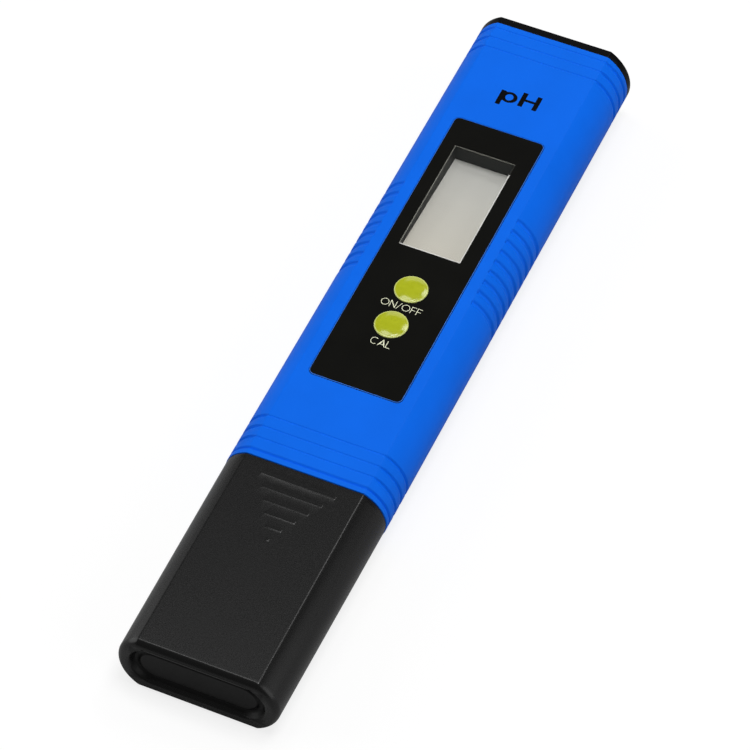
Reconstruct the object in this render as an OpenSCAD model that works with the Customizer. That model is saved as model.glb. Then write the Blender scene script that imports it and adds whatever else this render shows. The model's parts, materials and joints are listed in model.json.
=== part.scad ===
// Pocket pH test pen lying on its flat back: +Y runs from the probe cap to the battery cap,
// +Z points out of the front face, and the origin is the bottom centre of the bounding box.

/* [Case] */
// Overall length, from the probe cap's end to the battery cap
pen_l = 155; // [150:1:165]
// Overall width across the rounded sides
pen_w = 30.4; // [30:0.1:31]
// Thickness at the battery end
battery_end_t = 14.7; // [14.6:0.1:15.2]
// Thickness that the taper reaches at the probe cap's end
cap_end_t = 12.4; // [12.4:0.1:13]
// Width of the flat front and back faces, between the creases
flat_w = 22; // [21.6:0.1:22.2]
// Wall thickness of the case and of the probe cap
wall = 1.6; // [1.4:0.1:1.7]
// Height of the seam between the front housing and the back cover
seam_z = 3.6; // [3.2:0.1:4]

/* [Caps] */
// Length of the probe cap
cap_l = 43.3; // [42:0.1:46]
// How far the probe cap sits inside the case outline
cap_step = 0.1; // [0.05:0.05:0.15]
// How much each side of the probe cap draws in towards its end
cap_draft = 0.3; // [0:0.05:0.3]
// Visible thickness of the battery cap
lid_t = 1.6; // [1.4:0.1:2]

/* [Front panel] */
// Width of the black panel
panel_w = 17.6; // [17.2:0.1:18]
// Length of the black panel
panel_l = 65.2; // [64:0.1:66]
// Position of the panel's middle along the pen
panel_y = 18.55; // [18:0.05:19]
// Width of the display opening
window_w = 11.9; // [11:0.1:12.2]
// Length of the display opening
window_l = 25.5; // [24.5:0.1:26]
// Position of the display's middle along the pen
window_y = 31.95; // [31.5:0.05:32.5]
// Depth of the display's face below the front, at its battery end
display_depth = 3.8; // [3.6:0.1:3.8]
// How much nearer the front the display's probe end sits
display_rise = 1.8; // [0:0.1:1.8]

/* [Buttons] */
// Diameter of each button
button_d = 6.1; // [5.6:0.1:6.1]
// Position of the power button along the pen
power_y = 10.2; // [10:0.05:10.8]
// Position of the calibration button along the pen
cal_y = 1.5; // [1.3:0.05:1.8]
// Distance that a button travels when it is pressed
button_travel = 0.4; // [0.2:0.05:0.45]

/* [Grip] */
// Number of grip grooves on each side
grip_count = 9; // [5:1:9]
// Distance from one grip groove to the next
grip_pitch = 2.56; // [2.3:0.02:2.6]
// Depth of the grip and ring grooves
groove_depth = 0.3; // [0.2:0.05:0.4]

/* [Hidden] */

$fn = 48;
arc_steps = 14;
slice_t = 0.01;
eps = 0.05;
big = 60;

cap_y = -pen_l / 2;
top_y = pen_l / 2;
joint_y = cap_y + cap_l;
case_end_y = top_y - lid_t;
front_slope = (battery_end_t - cap_end_t) / pen_l;
front_tilt = atan(front_slope);

// Ring grooves round both ends of the case
ring_w = 0.4;
ring_pitch = 2.5;
ring_rows = 3;
top_ring_y = case_end_y - 1.3;
low_ring_y = joint_y + 3.9;
lip_groove_y = joint_y + 1.2;

// Grip grooves on the rounded sides
grip_w = 1.0;
grip_first_y = 12;
grip_x = flat_w / 2 + 0.15;
grip_reach = 8;
grip_low_z = seam_z + 0.9;

// Front panel, display stack and board, as depths below the front face
panel_t = 0.4;
panel_r = 1.1;
window_x = -0.25;
pane_t = 0.4;
frame_w = 18.4;
frame_l = 32;
frame_wall = 0.75;
lcd_w = 15;
lcd_l = 29;
film_t = 0.2;
lcd_t = 1.2;
display_tilt = atan(display_rise / window_l);
lcd_end_y = 13.1;
frame_low = -display_depth - film_t - lcd_t - 0.2;
board_w = 21;
board_low_y = -22;
board_high_y = 56;
board_depth = 6.4;
board_t = 1.0;
boss_x = 8.4;
boss_ys = [-19, 51];
boss_r = 2.1;
screw_r = 0.75;
screw_head_r = 1.6;
screw_head_t = 1.1;
screw_l = 4.2;

// Buttons and their switches
button_x = 0.2;
button_gap = 0.08;
button_proud = 0.12;
button_dome = 0.3;
flange_r = button_d / 2 + 0.75;
flange_t = 0.6;
flange_top = -wall - eps;
button_under = flange_top - flange_t;
switch_side = 6;
switch_h = 3.0;
plunger_r = 1.5;
plunger_low = -board_depth + switch_h - 0.9;

// Probe end
neck_l = 18;
neck_gap = 0.35;
neck_inset = cap_step + wall + neck_gap;
neck_plug_l = 9;
axis_z = cap_end_t / 2 + 0.1;
guard_r = 4.1;
guard_wall = 0.7;
guard_end_y = -70.5;
guard_slot_w = 4;
tube_r = 2.7;
tube_wall = 0.6;
bulb_r = 3.2;
bulb_y = -64.4;
neck_end_y = joint_y - neck_l;
plug_end_y = joint_y + neck_plug_l;
seal_y = joint_y - 7;
seal_w = 1.6;
seal_depth = 0.8;
seal_proud = 0.2;
junction_r = 1;
junction_l = 6;
junction_x = 7.5;
cap_floor_t = 3.1;
cap_inner_y = cap_y + cap_floor_t;
recess_w = 23.4;
recess_h = 7.4;
recess_depth = 1.4;
sponge_t = 3.1;
sponge_w = 19;
sponge_h = 8.4;

// Battery end
cell_r = 5.8;
cell_t = 5.4;
cell_x = 6.1;
cell_y = 66.7;
tray_w = 24.6;
tray_z = 3.9;
tray_h = 6;
tray_y = 60.6;
tray_floor = 0.8;
bridge_t = 0.2;
bridge_w = 5;
bridge_l = 16;
cell_z = tray_z + tray_floor + bridge_t;
contact_t = 0.2;
contact_w = 4;

// ---------- shared geometry ----------

function thickness(y) = cap_end_t + (y - cap_y) * front_slope;
function half_w(y) = pen_w / 2 - (y < joint_y ? cap_draft * (joint_y - y) / cap_l : 0);
function side_rise(y) = half_w(y) - flat_w / 2;
function side_r(y) = (pow(thickness(y) / 2, 2) + pow(side_rise(y), 2)) / (2 * side_rise(y));

// Cross-section at y: flat front and back joined by one circular arc on each side
function half_section(y, inset) =
    let (r = side_r(y) - inset, h = thickness(y) / 2, cx = half_w(y) - side_r(y), a = asin((h - inset) / r))
    [for (i = [0:arc_steps]) let (t = -a + 2 * a * i / arc_steps) [cx + r * cos(t), h + r * sin(t)]];

function section(y, inset) =
    let (right = half_section(y, inset))
    concat(right, [for (i = [arc_steps:-1:0]) [-right[i][0], right[i][1]]]);

// Thin slab of the section; its lower face is at y
module slice(y, inset = 0) {
    translate([0, y + slice_t, 0]) rotate([90, 0, 0]) linear_extrude(slice_t) polygon(section(y, inset));
}

// Smooth volume through a list of [y, inset] slices
module volume(stations) {
    hull() for (s = stations) slice(s[0], s[1]);
}

// Coordinates on the front face: x, y along the pen, and z out of the face
module on_front() {
    translate([0, 0, thickness(0)]) rotate([front_tilt, 0, 0]) children();
}

// Coordinates on the display's sloping face: x and y from its middle, and z out of it
module on_display() {
    on_front() translate([window_x, window_y + window_l / 2, -display_depth])
        rotate([-display_tilt, 0, 0]) translate([0, -window_l / 2, 0]) children();
}

module block(w, l, low, high, x = 0, y = 0) {
    translate([x - w / 2, y - l / 2, low]) cube([w, l, high - low]);
}

module rod(r, low, high, x = 0, y = 0) {
    translate([x, y, low]) cylinder(r = r, h = high - low);
}

module rounded_plate(w, l, r, low, high, x = 0, y = 0) {
    translate([x, y, low]) linear_extrude(high - low) union() {
        square([w - 2 * r, l], center = true);
        square([w, l - 2 * r], center = true);
        for (sx = [-1, 1], sy = [-1, 1])
            translate([sx * (w / 2 - r), sy * (l / 2 - r)]) circle(r = r);
    }
}

// Round bar along the pen's length, from y0 to y1
module along_y(r, y0, y1, x = 0, z = axis_z) {
    translate([x, y0, z]) rotate([-90, 0, 0]) cylinder(r = r, h = y1 - y0);
}

// Flat-sided oval prism along the pen's length
module oval_y(w, h, y0, y1, z = axis_z) {
    r = h / 2;
    translate([0, y1, z]) rotate([90, 0, 0]) linear_extrude(y1 - y0) union() {
        square([w - 2 * r, h], center = true);
        for (s = [-1, 1]) translate([s * (w / 2 - r), 0]) circle(r = r);
    }
}

// ---------- case ----------

module ring_slab(y, w) {
    translate([-big / 2, y - w / 2, -1]) cube([big, w, battery_end_t + 2]);
}

module groove_cutter() {
    difference() {
        union() {
            for (i = [0:ring_rows - 1]) {
                ring_slab(top_ring_y - i * ring_pitch, ring_w);
                ring_slab(low_ring_y + i * ring_pitch, ring_w);
            }
            ring_slab(lip_groove_y, ring_w * 1.5);
            for (i = [0:grip_count - 1], s = [-1, 1])
                block(grip_reach, grip_w, grip_low_z, battery_end_t + 1,
                    s * (grip_x + grip_reach / 2), grip_first_y + i * grip_pitch);
        }
        volume([[joint_y - 1, groove_depth], [case_end_y + 1, groove_depth]]);
    }
}

module case_tube() {
    difference() {
        volume([[joint_y, 0], [case_end_y - slice_t, 0]]);
        volume([[joint_y - 1, wall], [case_end_y + 1, wall]]);
        groove_cutter();
    }
}

module front_housing() {
    color("#166cec") difference() {
        union() {
            difference() {
                case_tube();
                translate([-big / 2, -pen_l / 2, -1]) cube([big, pen_l, seam_z + 1]);
            }
            on_front() for (y = boss_ys, s = [-1, 1])
                rod(boss_r, -board_depth, -wall + 0.2, s * boss_x, y);
        }
        on_front() {
            rounded_plate(panel_w + 2 * eps, panel_l + 2 * eps, panel_r, -panel_t, 1, 0, panel_y);
            block(window_w + 2 * frame_wall, window_l + 2 * frame_wall, -wall - 1, 1, window_x, window_y);
            for (y = [power_y, cal_y]) rod(button_d / 2 + button_gap, -wall - 1, 1, button_x, y);
            for (y = boss_ys, s = [-1, 1])
                rod(screw_r, -board_depth - 1, -board_depth + screw_l + 0.3, s * boss_x, y);
        }
    }
}

// Lip inside the seam: it stands on the back cover and locates the front housing
module seam_lip(inset, low, high) {
    lip_t = 0.9;
    difference() {
        intersection() {
            volume([[plug_end_y + 1, inset], [tray_y - 3, inset]]);
            translate([-big / 2, -pen_l / 2, low]) cube([big, pen_l, high - low]);
        }
        volume([[plug_end_y, wall + lip_t], [tray_y - 2, wall + lip_t]]);
    }
}

module back_cover() {
    lip_h = 1.0;
    color("#1468e6") union() {
        intersection() {
            case_tube();
            translate([-big / 2, -pen_l / 2, -1]) cube([big, pen_l, seam_z + 1]);
        }
        seam_lip(wall - 0.1, seam_z - lip_h, seam_z);
        seam_lip(wall + eps, seam_z - lip_h, seam_z + lip_h);
    }
}

// ---------- front panel and display ----------

module front_panel() {
    color("#161614") on_front() difference() {
        rounded_plate(panel_w, panel_l, panel_r, -panel_t, 0.04, 0, panel_y);
        block(window_w, window_l, -1, 1, window_x, window_y);
        for (y = [power_y, cal_y]) rod(button_d / 2 + button_gap, -1, 1, button_x, y);
    }
}

module display_window() {
    color("#dfe6e8", 0.3) on_front()
        block(window_w, window_l, -pane_t, -0.02, window_x, window_y);
}

module lcd_frame() {
    collar_w = window_w + 2 * frame_wall - 2 * eps;
    collar_l = window_l + 2 * frame_wall - 2 * eps;
    color("#2c2c2a") difference() {
        on_front() difference() {
            union() {
                block(collar_w, collar_l, -wall - 1, -panel_t, window_x, window_y);
                block(frame_w, frame_l, frame_low, -wall - eps, window_x, window_y);
            }
            block(window_w, window_l, -10, 0, window_x, window_y);
        }
        on_display() block(lcd_w, lcd_l, -10, 0);
    }
}

module lcd_polarizer() {
    color("#c1beb4") on_display() block(lcd_w, lcd_l, -film_t, 0);
}

module lcd_glass() {
    color("#b8c4c0") on_display() block(lcd_w, lcd_l, -film_t - lcd_t, -film_t);
}

module lcd_reflector() {
    color("#d8d8d2") on_display()
        block(lcd_w, lcd_l - 6, -2 * film_t - lcd_t, -film_t - lcd_t);
}

module zebra_strips() {
    strip_l = 2;
    gap = 0.1;
    color("#3c3c42") on_front() for (s = [-1, 1])
        let (face_z = (window_l / 2 - s * lcd_end_y) * tan(display_tilt) - display_depth)
            block(lcd_w - 1, strip_l, -board_depth, face_z - film_t - lcd_t - gap,
                window_x, window_y + s * lcd_end_y);
}

// ---------- board ----------

module main_board() {
    middle = (board_low_y + board_high_y) / 2;
    color("#1e6b3c") on_front() difference() {
        block(board_w, board_high_y - board_low_y, -board_depth - board_t, -board_depth, 0, middle);
        for (y = boss_ys, s = [-1, 1]) rod(screw_r + 0.1, -10, 0, s * boss_x, y);
    }
}

// Low dome of resin over the display controller
module controller_chip() {
    blob_r = 5.2;
    blob_h = 1.2;
    sphere_r = (blob_r * blob_r + blob_h * blob_h) / (2 * blob_h);
    blob_a = asin(blob_r / sphere_r);
    steps = 8;
    dome = [for (i = [0:steps]) let (t = blob_a * (1 - i / steps))
        [sphere_r * sin(t), blob_h - sphere_r + sphere_r * cos(t)]];
    color("#101010") on_front() translate([0, window_y, -board_depth - board_t]) rotate([180, 0, 0])
        rotate_extrude($fn = 64) polygon(concat([[0, 0]], dome));
}

module amplifier_chip() {
    pin_pitch = 1.27;
    under = -board_depth - board_t;
    color("#1c1c1e") on_front() union() {
        block(3.9, 4.9, under - 1.4, under, 0, -9);
        for (s = [-1, 1], i = [-1.5:1:1.5])
            block(1.1, 0.4, under - 0.6, under, s * 2.4, -9 + i * pin_pitch);
    }
}

module board_components() {
    under = -board_depth - board_t;
    color("#b08a5a") on_front() union() {
        for (i = [0:4]) block(0.8, 1.6, under - 0.5, under, -6.5, -14 + i * 3.2);
        for (i = [0:4]) block(0.8, 1.6, under - 0.5, under, 6.5, -14 + i * 3.2);
        for (x = [-5, 5]) block(2.5, 3.2, under - 1.2, under, x, 12);
        rod(1.5, under - 2.2, under, 0, 18);
    }
}

module board_screws() {
    under = -board_depth - board_t;
    color("#c9ccd0") on_front() for (y = boss_ys, s = [-1, 1]) translate([s * boss_x, y, 0]) difference() {
        union() {
            rod(screw_head_r, under - screw_head_t, under);
            rod(screw_r, under - eps, -board_depth + screw_l);
        }
        block(0.4, 2, under - screw_head_t - 1, under - screw_head_t / 2);
        block(2, 0.4, under - screw_head_t - 1, under - screw_head_t / 2);
    }
}

module tact_switch(y) {
    color("#1a1a1c") on_front() difference() {
        union() {
            block(switch_side, switch_side, -board_depth, -board_depth + switch_h, button_x, y);
            for (sx = [-1, 1], sy = [-1, 1])
                block(1.4, 0.7, -board_depth, -board_depth + 0.5, button_x + sx * 3.4, y + sy * 2.2);
        }
        rod(plunger_r + button_gap, plunger_low - button_travel - 0.3, 0, button_x, y);
    }
}

module power_switch() {
    tact_switch(power_y);
}

module cal_switch() {
    tact_switch(cal_y);
}

// ---------- buttons ----------

// A button: round cap with a low dome, held in by a flange behind the case wall
module button_cap(y) {
    r = button_d / 2;
    dome_r = (r * r + button_dome * button_dome) / (2 * button_dome);
    dome_a = asin(r / dome_r);
    dome_z = button_proud + button_dome - dome_r;
    dome = [for (i = [0:8]) let (t = dome_a * (1 - i / 8)) [dome_r * sin(t), dome_z + dome_r * cos(t)]];
    color("#b2bc28") on_front() translate([button_x, y, 0]) rotate_extrude($fn = 64) polygon(concat(
        [[0, button_under], [flange_r, button_under], [flange_r, flange_top], [r, flange_top]], dome));
}

module button_plunger(y) {
    color("#e8e4d8") on_front()
        rod(plunger_r, plunger_low, button_under, button_x, y);
}

module power_button() {
    button_cap(power_y);
}

module cal_button() {
    button_cap(cal_y);
}

module power_plunger() {
    button_plunger(power_y);
}

module cal_plunger() {
    button_plunger(cal_y);
}

// ---------- battery end ----------

// Bent spring leaf from the board's end to the top of one cell
module cell_contact(x) {
    foot_y = board_high_y - 2.7;
    riser_y = board_high_y + 0.6;
    leaf_z = board_depth - 2.5;
    color("#d8c070") on_front() translate([x - contact_w / 2, 0, 0]) union() {
        translate([0, foot_y, -board_depth]) cube([contact_w, riser_y - foot_y, contact_t]);
        translate([0, riser_y - contact_t, -board_depth])
            cube([contact_w, contact_t, board_depth - leaf_z + contact_t]);
        translate([0, riser_y - contact_t, -leaf_z]) cube([contact_w, cell_y + 1 - riser_y, contact_t]);
    }
}

module positive_contact() {
    cell_contact(-cell_x);
}

module negative_contact() {
    cell_contact(cell_x);
}

module battery_cap() {
    tongue_w = 19;
    tongue_l = 4.4;
    front_tongue_z = thickness(case_end_y - tongue_l) - wall - 0.4;
    color("#1a1a1a") union() {
        volume([[case_end_y, 0], [top_y - 0.5, 0], [top_y - 0.15, 0.15], [top_y - slice_t, 0.45]]);
        translate([-tongue_w / 2, case_end_y - tongue_l, wall + 0.3]) cube([tongue_w, tongue_l + 0.5, 1.1]);
        translate([-tongue_w / 2, case_end_y - tongue_l, front_tongue_z - 1.2])
            cube([tongue_w, tongue_l + 0.5, 1.2]);
    }
}

module battery_tray() {
    floor_z = tray_z + tray_floor;
    color("#242424") difference() {
        translate([-tray_w / 2, tray_y, tray_z]) cube([tray_w, case_end_y - tray_y, tray_h]);
        for (s = [-1, 1]) rod(cell_r + 0.1, floor_z, 20, s * cell_x, cell_y);
        block(bridge_l, bridge_w, floor_z, floor_z + bridge_t + 0.02, 0, cell_y);
    }
}

// Button cell with a smaller stepped end, which faces up or down
module button_cell(x, up) {
    step_t = 0.6;
    body_t = cell_t - step_t;
    color("#c4c8cc") union() {
        rod(cell_r, cell_z + (up ? 0 : step_t), cell_z + (up ? body_t : cell_t), x, cell_y);
        rod(cell_r - 0.9, cell_z, cell_z + cell_t, x, cell_y);
    }
}

module left_cell() {
    button_cell(-cell_x, false);
}

module right_cell() {
    button_cell(cell_x, true);
}

module cell_bridge() {
    color("#d0b060") block(bridge_l - 0.1, bridge_w - 0.1, cell_z - bridge_t, cell_z, 0, cell_y);
}

// ---------- probe end ----------

module electrode_housing() {
    color("#1c1c1c") difference() {
        union() {
            volume([[plug_end_y, wall + eps + 0.4], [plug_end_y - 0.6, wall + eps], [joint_y, wall + eps]]);
            volume([[joint_y - slice_t, neck_inset], [neck_end_y + 1, neck_inset],
                [neck_end_y, neck_inset + 0.9]]);
            along_y(guard_r, guard_end_y, neck_end_y + 1);
        }
        difference() {
            translate([-big / 2, seal_y - seal_w / 2, -1]) cube([big, seal_w, 20]);
            volume([[seal_y - seal_w, neck_inset + seal_depth],
                [seal_y + seal_w, neck_inset + seal_depth]]);
        }
        along_y(tube_r, neck_end_y - 1, plug_end_y + 1);
        along_y(guard_r - guard_wall, guard_end_y - 1, neck_end_y);
        for (a = [0, 90]) translate([0, 0, axis_z]) rotate([0, a, 0])
            translate([-guard_slot_w / 2, guard_end_y + 1.6, -10])
                cube([guard_slot_w, neck_end_y - guard_end_y - 3.2, 20]);
        along_y(junction_r, neck_end_y - 1, neck_end_y + junction_l, junction_x);
    }
}

module glass_electrode() {
    tube_end_y = plug_end_y - 1;
    color("#d5e6ea", 0.5) difference() {
        union() {
            along_y(tube_r, bulb_y, tube_end_y);
            translate([0, bulb_y, axis_z]) rotate([-90, 0, 0]) sphere(r = bulb_r);
        }
        along_y(tube_r - tube_wall, bulb_y, tube_end_y + 1);
        translate([0, bulb_y, axis_z]) rotate([-90, 0, 0]) sphere(r = bulb_r - tube_wall);
    }
}

module electrode_bung() {
    bung_l = 3;
    color("#8a2f22") difference() {
        along_y(tube_r - tube_wall, plug_end_y - 1 - bung_l, plug_end_y - 1);
        along_y(0.3, plug_end_y - 10, plug_end_y);
    }
}

module reference_wire() {
    color("#d6d6d6") along_y(0.3, bulb_y - 1, plug_end_y - 1);
}

// Two short insulated leads from the electrode's rear onto the board
module electrode_leads() {
    lead_r = 0.45;
    lead_y = plug_end_y - 0.9;
    color("#c03020") on_front() for (s = [-1, 1])
        translate([s * 1.3, lead_y, -board_depth + lead_r]) rotate([-90, 0, 0])
            cylinder(r = lead_r, h = board_low_y + 5 - lead_y);
}

module junction_plug() {
    color("#ece6d6") along_y(junction_r, neck_end_y - 0.4, neck_end_y + junction_l, junction_x);
}

module cap_seal_ring() {
    color("#0e0e0e") difference() {
        volume([[seal_y - seal_w / 2 + eps, neck_inset - seal_proud],
            [seal_y + seal_w / 2 - eps - slice_t, neck_inset - seal_proud]]);
        volume([[seal_y - seal_w, neck_inset + seal_depth], [seal_y + seal_w, neck_inset + seal_depth]]);
    }
}

module probe_cap() {
    rib_rows = 6;
    rib_pitch = 2.5;
    rib_w = 14.2;
    rib_fall = 2.74;
    first_rib_y = joint_y - 2.7;
    rim_y = joint_y - 0.1;
    color("#2a2a2a") difference() {
        union() {
            volume([[rim_y - slice_t, cap_step], [cap_y + 0.9, cap_step], [cap_y + 0.35, cap_step + 0.25],
                [cap_y, cap_step + 0.8]]);
            on_front() for (i = [0:rib_rows - 1])
                block(rib_w - i * rib_fall, 0.6, -1, -cap_step + 0.12, 0, first_rib_y - i * rib_pitch);
        }
        volume([[joint_y + 1, cap_step + wall], [cap_inner_y, cap_step + wall]]);
        oval_y(recess_w, recess_h, cap_y - 1, cap_y + recess_depth);
    }
}

module storage_sponge() {
    color("#e8d070") oval_y(sponge_w, sponge_h, cap_inner_y, cap_inner_y + sponge_t);
}

front_housing();
back_cover();
front_panel();
display_window();
lcd_frame();
lcd_polarizer();
lcd_glass();
lcd_reflector();
zebra_strips();
main_board();
controller_chip();
amplifier_chip();
board_components();
board_screws();
power_switch();
cal_switch();
positive_contact();
negative_contact();
electrode_housing();
glass_electrode();
reference_wire();
electrode_bung();
electrode_leads();
junction_plug();
cap_seal_ring();
power_button();
power_plunger();
cal_button();
cal_plunger();
probe_cap();
storage_sponge();
battery_cap();
battery_tray();
left_cell();
right_cell();
cell_bridge();
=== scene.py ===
import json
import math

import bmesh
import bpy
import numpy as np
from mathutils import Matrix, Vector, noise


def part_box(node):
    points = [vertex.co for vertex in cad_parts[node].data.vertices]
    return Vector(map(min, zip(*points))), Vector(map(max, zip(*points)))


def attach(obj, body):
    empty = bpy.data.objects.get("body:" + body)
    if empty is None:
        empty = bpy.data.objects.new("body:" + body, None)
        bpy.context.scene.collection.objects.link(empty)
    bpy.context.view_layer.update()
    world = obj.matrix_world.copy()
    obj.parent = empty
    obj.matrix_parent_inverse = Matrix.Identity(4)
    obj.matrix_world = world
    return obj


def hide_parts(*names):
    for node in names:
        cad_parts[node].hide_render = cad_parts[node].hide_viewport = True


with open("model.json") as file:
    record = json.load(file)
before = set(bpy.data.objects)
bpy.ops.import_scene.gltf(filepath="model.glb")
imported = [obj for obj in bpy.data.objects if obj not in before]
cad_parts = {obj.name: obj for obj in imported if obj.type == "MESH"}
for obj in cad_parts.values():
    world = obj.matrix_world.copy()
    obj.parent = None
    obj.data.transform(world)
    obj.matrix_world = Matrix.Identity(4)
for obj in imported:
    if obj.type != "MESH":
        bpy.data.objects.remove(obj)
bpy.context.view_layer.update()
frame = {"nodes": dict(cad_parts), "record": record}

# Shapes are worked out in millimetres, in the frame's axes, and scaled to metres as meshes are made.
MM = 0.001


def box_mm(node):
    low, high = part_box(node)
    return np.array(low) / MM, np.array(high) / MM


# ---- measures from the frame

CASE_LOW, CASE_HIGH = box_mm("front_housing")
CAP_LOW, CAP_HIGH = box_mm("probe_cap")
LID_HIGH = box_mm("battery_cap")[1]
PANEL_LOW, PANEL_HIGH = box_mm("front_panel")
PANE_LOW, PANE_HIGH = box_mm("display_window")
NECK_LOW, NECK_HIGH = box_mm("electrode_housing")
GLASS_LOW, GLASS_HIGH = box_mm("glass_electrode")
SEAL_LOW, SEAL_HIGH = box_mm("cap_seal_ring")
SPONGE_LOW, SPONGE_HIGH = box_mm("storage_sponge")

JOINT_Y = CASE_LOW[1]
CASE_END_Y = CASE_HIGH[1]
SEAM_Z = CASE_LOW[2]
HALF_W = CASE_HIGH[0]
CAP_STEP = HALF_W - CAP_HIGH[0]
CAP_DRAFT = 0.3
CAP_L = JOINT_Y - CAP_LOW[1]
WALL = 1.6
FLAT_HALF = 11.0

PRESS = next(j for j in frame["record"]["behaviour"]["joints"] if j["name"] == "power_press")
TILT = math.atan2(PRESS["axis"][1], -PRESS["axis"][2])
SLOPE = math.tan(TILT)


def thickness(y):
    return CASE_HIGH[2] + (y - CASE_END_Y) * SLOPE


def half_width(y):
    return HALF_W - max(0.0, CAP_DRAFT * (JOINT_Y - y) / CAP_L)


# Maps front-face coordinates (x, y along the pen, z out of the face), in millimetres, to the frame
FRONT = Matrix.Translation((0, 0, thickness(0))) @ Matrix.Rotation(TILT, 4, "X")

PANEL_MID = ((PANEL_LOW + PANEL_HIGH) / 2)[:2]
PANEL_SIZE = (PANEL_HIGH - PANEL_LOW)[:2]
PANE_MID = ((PANE_LOW + PANE_HIGH) / 2)[:2]
PANE_SIZE = (PANE_HIGH - PANE_LOW)[:2]
PANEL_T = 0.4
PANEL_R = 1.1
PANE_R = 0.12
BUTTON_R = 3.05
BUTTON_GAP = 0.08


def button_centre(node):
    low, high = box_mm(node)
    return ((low + high) / 2)[:2]


POWER_AT = button_centre("power_button")
CAL_AT = button_centre("cal_button")

# ---- mesh helpers


def smoothstep(t):
    t = np.clip(t, 0.0, 1.0)
    return t * t * (3 - 2 * t)


def shade(mesh, angle):
    """Smooth faces, with edges sharper than the angle kept crisp."""
    bm = bmesh.new()
    bm.from_mesh(mesh)
    bmesh.ops.remove_doubles(bm, verts=bm.verts, dist=0.0000015)
    bmesh.ops.dissolve_degenerate(bm, edges=bm.edges, dist=0.000001)
    bmesh.ops.recalc_face_normals(bm, faces=bm.faces)
    limit = math.radians(angle)
    for face in bm.faces:
        face.smooth = True
    for edge in bm.edges:
        edge.smooth = len(edge.link_faces) == 2 and edge.calc_face_angle(0) < limit
    bm.to_mesh(mesh)
    bm.free()
    mesh.update()


def add_object(name, data):
    obj = bpy.data.objects.new(name, data)
    bpy.context.scene.collection.objects.link(obj)
    return obj


def new_object(name, verts, faces, matrix=None):
    """An object from points in millimetres and faces."""
    mesh = bpy.data.meshes.new(name)
    mesh.from_pydata([tuple(float(c) for c in v) for v in verts], [], faces)
    if matrix is not None:
        mesh.transform(matrix)
    mesh.transform(Matrix.Scale(MM, 4))
    bm = bmesh.new()
    bm.from_mesh(mesh)
    bmesh.ops.recalc_face_normals(bm, faces=bm.faces)
    bm.to_mesh(mesh)
    bm.free()
    return add_object(name, mesh)


def evaluated_mesh(obj):
    bpy.context.view_layer.update()
    graph = bpy.context.evaluated_depsgraph_get()
    return bpy.data.meshes.new_from_object(obj.evaluated_get(graph))


def apply_modifiers(obj):
    old, mesh = obj.data, evaluated_mesh(obj)
    obj.modifiers.clear()
    obj.data = mesh
    mesh.name = obj.name
    bpy.data.meshes.remove(old)


def combine(obj, others, operation="DIFFERENCE"):
    """Cuts the other solids from obj, or joins them to it, and removes them."""
    for other in others:
        modifier = obj.modifiers.new("cut", "BOOLEAN")
        modifier.operation = operation
        modifier.solver = "MANIFOLD"
        modifier.object = other
    apply_modifiers(obj)
    for other in others:
        mesh = other.data
        bpy.data.objects.remove(other)
        bpy.data.meshes.remove(mesh)


def grid(rows, cols, close=False, offset=0):
    """Quads between rows of points; close joins each row's last point to its first."""
    faces = []
    for r in range(rows - 1):
        for c in range(cols if close else cols - 1):
            d = (c + 1) % cols
            faces.append((offset + r * cols + c, offset + r * cols + d,
                          offset + (r + 1) * cols + d, offset + (r + 1) * cols + c))
    return faces


def loops_object(name, loops, matrix=None, ring=False):
    """A solid skinned over closed loops that all have the same number of points.

    In a ring the last loop joins the first. Otherwise both ends are capped."""
    count = len(loops[0])
    verts = np.concatenate([np.asarray(loop, float) for loop in loops])
    faces = grid(len(loops), count, close=True)
    last = (len(loops) - 1) * count
    if ring:
        faces += [(last + c, last + (c + 1) % count, (c + 1) % count, c) for c in range(count)]
    else:
        faces += [tuple(range(count))[::-1], tuple(range(last, last + count))]
    return new_object(name, verts, faces, matrix)


def finish_piece(obj, body, material, nodes=(), angle=32.0, weighted=True):
    """Shading, material, body, and the CAD nodes that the piece stands for."""
    shade(obj.data, angle)
    if weighted:
        modifier = obj.modifiers.new("normals", "WEIGHTED_NORMAL")
        modifier.keep_sharp = True
        modifier.weight = 80
        apply_modifiers(obj)
    obj.data.materials.clear()
    obj.data.materials.append(material)
    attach(obj, body)
    if nodes:
        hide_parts(*nodes)
    return obj


# ---- the pen's cross-section

FILLET = 0.45
INNER_FILLET = 0.3
FLAT_STEPS = 6
FILLET_STEPS = 5
FINE_STEPS = 20
FINE_L = 2.2
COARSE_STEPS = 22
MIRROR = np.array([-1.0, 1.0])


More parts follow.
